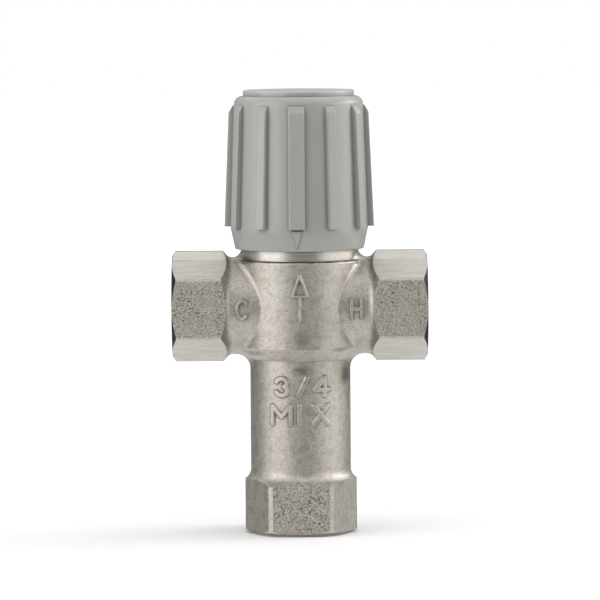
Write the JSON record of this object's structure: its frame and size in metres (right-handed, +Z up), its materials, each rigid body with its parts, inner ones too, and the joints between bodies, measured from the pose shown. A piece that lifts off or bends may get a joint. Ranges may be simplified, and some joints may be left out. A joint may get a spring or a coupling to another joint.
{
  "type": "thermostatic mixing valve",
  "caption": "Mixing valve with a ribbed setting knob on a plated brass body: threaded hot and cold inlets at the sides, and a threaded outlet below for the mixed water.",
  "frame": {"origin": "centre of the bottom face of the mixed water outlet", "axes": "+Z up along the body and the knob, +X towards the hot inlet, -X towards the cold inlet, -Y towards the lettered front"},
  "size_m": [0.0822, 0.0484, 0.1434],
  "materials": {
    "plated_brass": "forged brass, blasted and satin nickel plated",
    "knob_plastic": "grey moulding with a soft sheen",
    "cap_plastic": "grey moulding with a soft sheen",
    "bare_brass": "turned",
    "copper": "drawn",
    "steel": "turned and stamped",
    "spring_steel": "drawn wire and stamped strip",
    "black_plastic": "moulded",
    "white_plastic": "moulded",
    "seal_rubber": "moulded",
    "wax": "wax filled with copper powder"
  },
  "bodies": {
    "root": {"valve_body": "plated_brass", "bonnet": "bare_brass", "bonnet_oring": "seal_rubber", "divider_ring": "black_plastic", "divider_oring": "seal_rubber", "divider_clip": "spring_steel", "spring_seat_ring": "steel", "return_spring": "spring_steel"},
    "knob_group": {"knob": "knob_plastic", "knob_cap": "cap_plastic", "knob_screw": "steel", "spindle": "bare_brass", "spindle_oring_upper": "seal_rubber", "spindle_oring_lower": "seal_rubber", "spindle_clip": "spring_steel", "thrust_washer": "white_plastic"},
    "nut_group": {"setting_nut": "bare_brass", "plunger_clip": "spring_steel", "overload_spring": "spring_steel"},
    "plunger_group": {"overload_plunger": "bare_brass", "element_pin": "steel"},
    "shuttle_group": {"shuttle": "black_plastic", "shuttle_seal": "seal_rubber", "element_cup": "copper", "element_guide": "bare_brass", "element_sleeve": "seal_rubber", "wax_charge": "wax"}
  },
  "joints": [
    {"name": "knob_turn", "type": "hinge", "parent": "root", "child": "knob_group", "pos_m": [0, 0, 0.1162], "axis": [0, 0, 1], "range_deg": [-150, 150]},
    {"name": "nut_travel", "type": "slide", "parent": "root", "child": "nut_group", "axis": [0, 0, 1], "range_m": [-0.00167, 0.00167]},
    {"name": "overload_travel", "type": "slide", "parent": "nut_group", "child": "plunger_group", "axis": [0, 0, 1], "range_m": [0, 0.002], "stiffness_N_per_m": 15000, "deforming": ["overload_spring"]},
    {"name": "shuttle_travel", "type": "slide", "parent": "root", "child": "shuttle_group", "axis": [0, 0, 1], "range_m": [-0.00085, 0.00085], "stiffness_N_per_m": 5000, "deforming": ["return_spring"]}
  ],
  "couplings": [
    {"joint": "knob_turn", "follows": "nut_travel", "rad_per_m": 1570.8}
  ]
}
